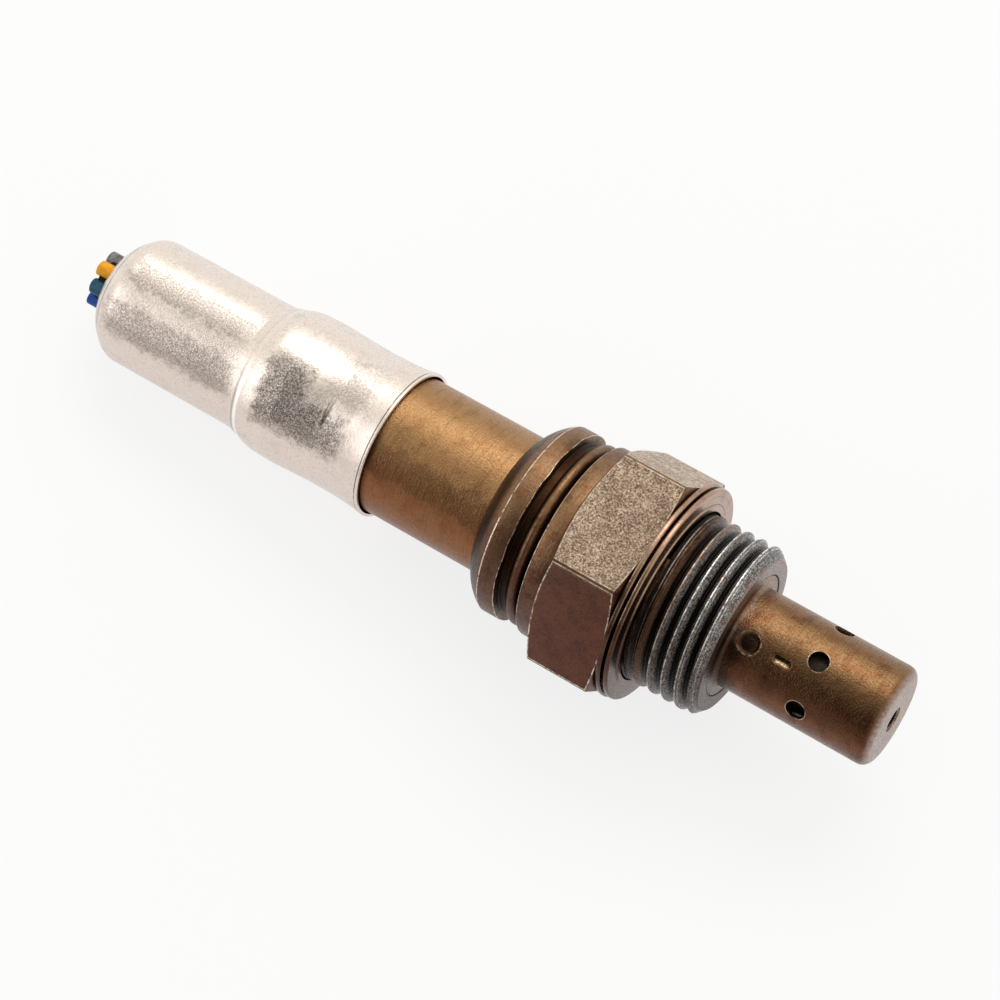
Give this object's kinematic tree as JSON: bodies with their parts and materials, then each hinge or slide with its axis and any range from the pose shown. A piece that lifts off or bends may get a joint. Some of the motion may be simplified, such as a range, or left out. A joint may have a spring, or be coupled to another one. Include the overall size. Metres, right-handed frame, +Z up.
{
  "type": "oxygen sensor",
  "caption": "Exhaust oxygen sensor: hexagonal steel shell with thread and crushable gasket, perforated protection tube, crimped silver sleeve and short coloured wire stubs.",
  "frame": {"origin": "centre of the bounding box's underside, on the floor the loose sensor lies on", "axes": "+X towards the gas inlet tip, +Z up; the sensor's axis leans 4.4 degrees, tip up, because it lies on a flat of the hexagon and on the sleeve's rear shoulder"},
  "size_m": [0.0938, 0.0254, 0.0232],
  "materials": {
    "shell_bronze": "steel with a warm bronze tint, satin, thread end dull and speckled",
    "gasket_bronze": "folded sheet steel, bronze tint, satin",
    "protector_bronze": "drawn sheet steel, bronze tint, satin",
    "tube_bronze": "drawn tube, gold bronze tint, fine brushing round it",
    "sleeve_silver": "drawn sheet steel, silver, satin with fine speckle",
    "seal_rubber": "matt black fluoro rubber",
    "white_ceramic": "dry pressed, matt",
    "element_ceramic": "fired, smooth, matt",
    "pressed_talc": "pressed powder, matt",
    "spring_steel": "cold rolled sheet",
    "bright_steel": "cold rolled sheet",
    "contact_plating": "plated spring strip",
    "conductor_strands": "stranded copper, plated, cut square",
    "wire_grey": "extruded, smooth",
    "wire_yellow": "extruded, smooth",
    "wire_teal": "extruded, smooth",
    "wire_blue": "extruded, smooth",
    "wire_black": "extruded, smooth"
  },
  "bodies": {
    "root": {"shell": "shell_bronze", "crush_gasket": "gasket_bronze", "outer_protector": "protector_bronze", "inner_protector": "protector_bronze", "heat_tube": "tube_bronze", "rear_sleeve": "sleeve_silver", "wire_grommet": "seal_rubber", "rear_insulator": "white_ceramic", "front_insulator": "white_ceramic", "spring_clamp": "spring_steel", "sensor_element": "element_ceramic", "sheet_packing": "bright_steel", "metal_cup": "bright_steel", "front_ceramic": "white_ceramic", "front_talc": "pressed_talc", "rear_talc": "pressed_talc", "rear_ceramic": "white_ceramic", "packing_ring": "bright_steel", "wire_grey": "wire_grey", "conductor_grey": "conductor_strands", "contact_grey": "contact_plating", "wire_yellow": "wire_yellow", "conductor_yellow": "conductor_strands", "contact_yellow": "contact_plating", "wire_teal": "wire_teal", "conductor_teal": "conductor_strands", "contact_teal": "contact_plating", "wire_blue": "wire_blue", "conductor_blue": "conductor_strands", "contact_blue": "contact_plating", "wire_black": "wire_black", "conductor_black": "conductor_strands", "contact_black": "contact_plating"}
  },
  "joints": []
}
